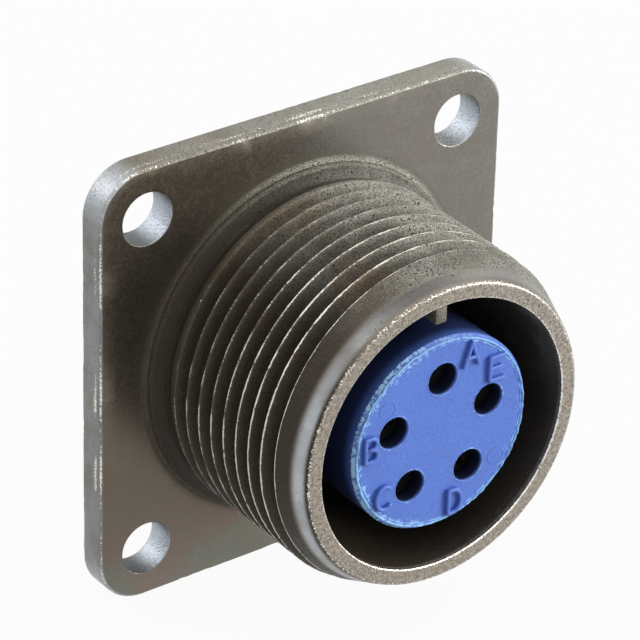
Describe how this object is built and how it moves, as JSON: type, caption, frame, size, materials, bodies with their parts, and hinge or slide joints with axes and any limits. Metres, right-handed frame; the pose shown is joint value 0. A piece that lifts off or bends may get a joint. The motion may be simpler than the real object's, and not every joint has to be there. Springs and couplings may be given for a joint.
{
  "type": "circular connector receptacle",
  "caption": "Box-mounting receptacle of a threaded circular connector, with a square flange, a keyed threaded barrel and socket contacts in a moulded insert.",
  "frame": {"origin": "centre of the flange's back face, which is the mounting face, on the connector's axis", "axes": "-Y is the mating direction, out of the mouth; +Z points to the key; +X is to the right of someone looking into the mouth"},
  "size_m": [0.0296, 0.0227, 0.0296],
  "materials": {
    "shell_metal": "satin olive drab plating, worn to bright metal on the edges",
    "blue_insulator": "moulded, satin",
    "contact_plate": "silver plated",
    "hood_steel": "drawn, bright",
    "washer_steel": "plated, satin",
    "spring_steel": "oiled spring steel"
  },
  "bodies": {
    "root": {"shell": "shell_metal", "front_insulator": "blue_insulator", "rear_insulator": "blue_insulator", "backing_washer": "washer_steel", "retaining_ring": "spring_steel", "socket_contact_a": "contact_plate", "contact_hood_a": "hood_steel", "socket_contact_b": "contact_plate", "contact_hood_b": "hood_steel", "socket_contact_c": "contact_plate", "contact_hood_c": "hood_steel", "socket_contact_d": "contact_plate", "contact_hood_d": "hood_steel", "socket_contact_e": "contact_plate", "contact_hood_e": "hood_steel"}
  },
  "joints": []
}
